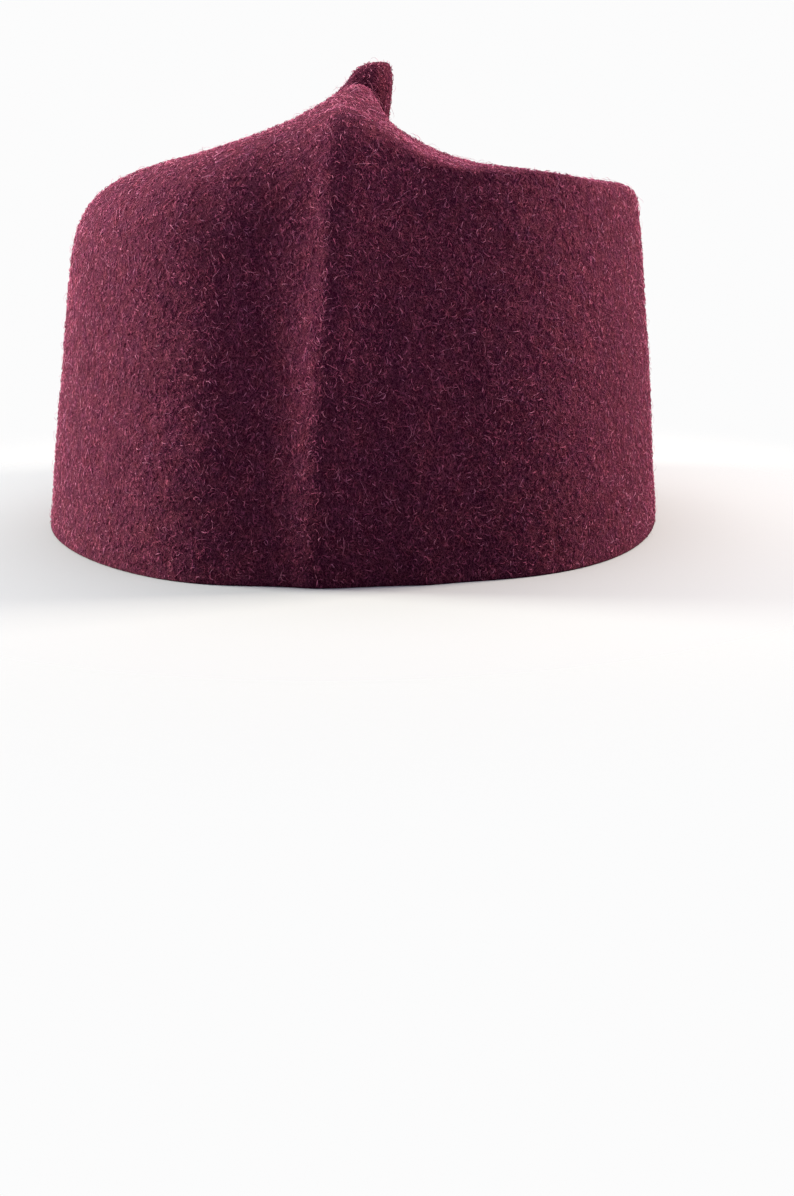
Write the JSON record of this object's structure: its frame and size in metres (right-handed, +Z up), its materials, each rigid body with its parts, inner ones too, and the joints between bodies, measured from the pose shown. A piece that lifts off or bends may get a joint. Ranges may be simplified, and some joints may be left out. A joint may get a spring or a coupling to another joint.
{
  "type": "igbo chief cap",
  "caption": "Burgundy wool felt chief's cap: tapered round wall, tent-shaped crown with a front fold, and a short stub of the same felt on top; hollow and open below.",
  "frame": {"origin": "centre of the rim's box, on the plane that the rim rests on", "axes": "+Z up through the crown, the front fold faces -Y, +X is to the right seen from the front"},
  "size_m": [0.1874, 0.1886, 0.1315],
  "materials": {
    "wool_felt": "brushed burgundy wool felt with a short curly nap, fully matt"
  },
  "bodies": {
    "root": {"felt_cap": "wool_felt"}
  },
  "joints": []
}
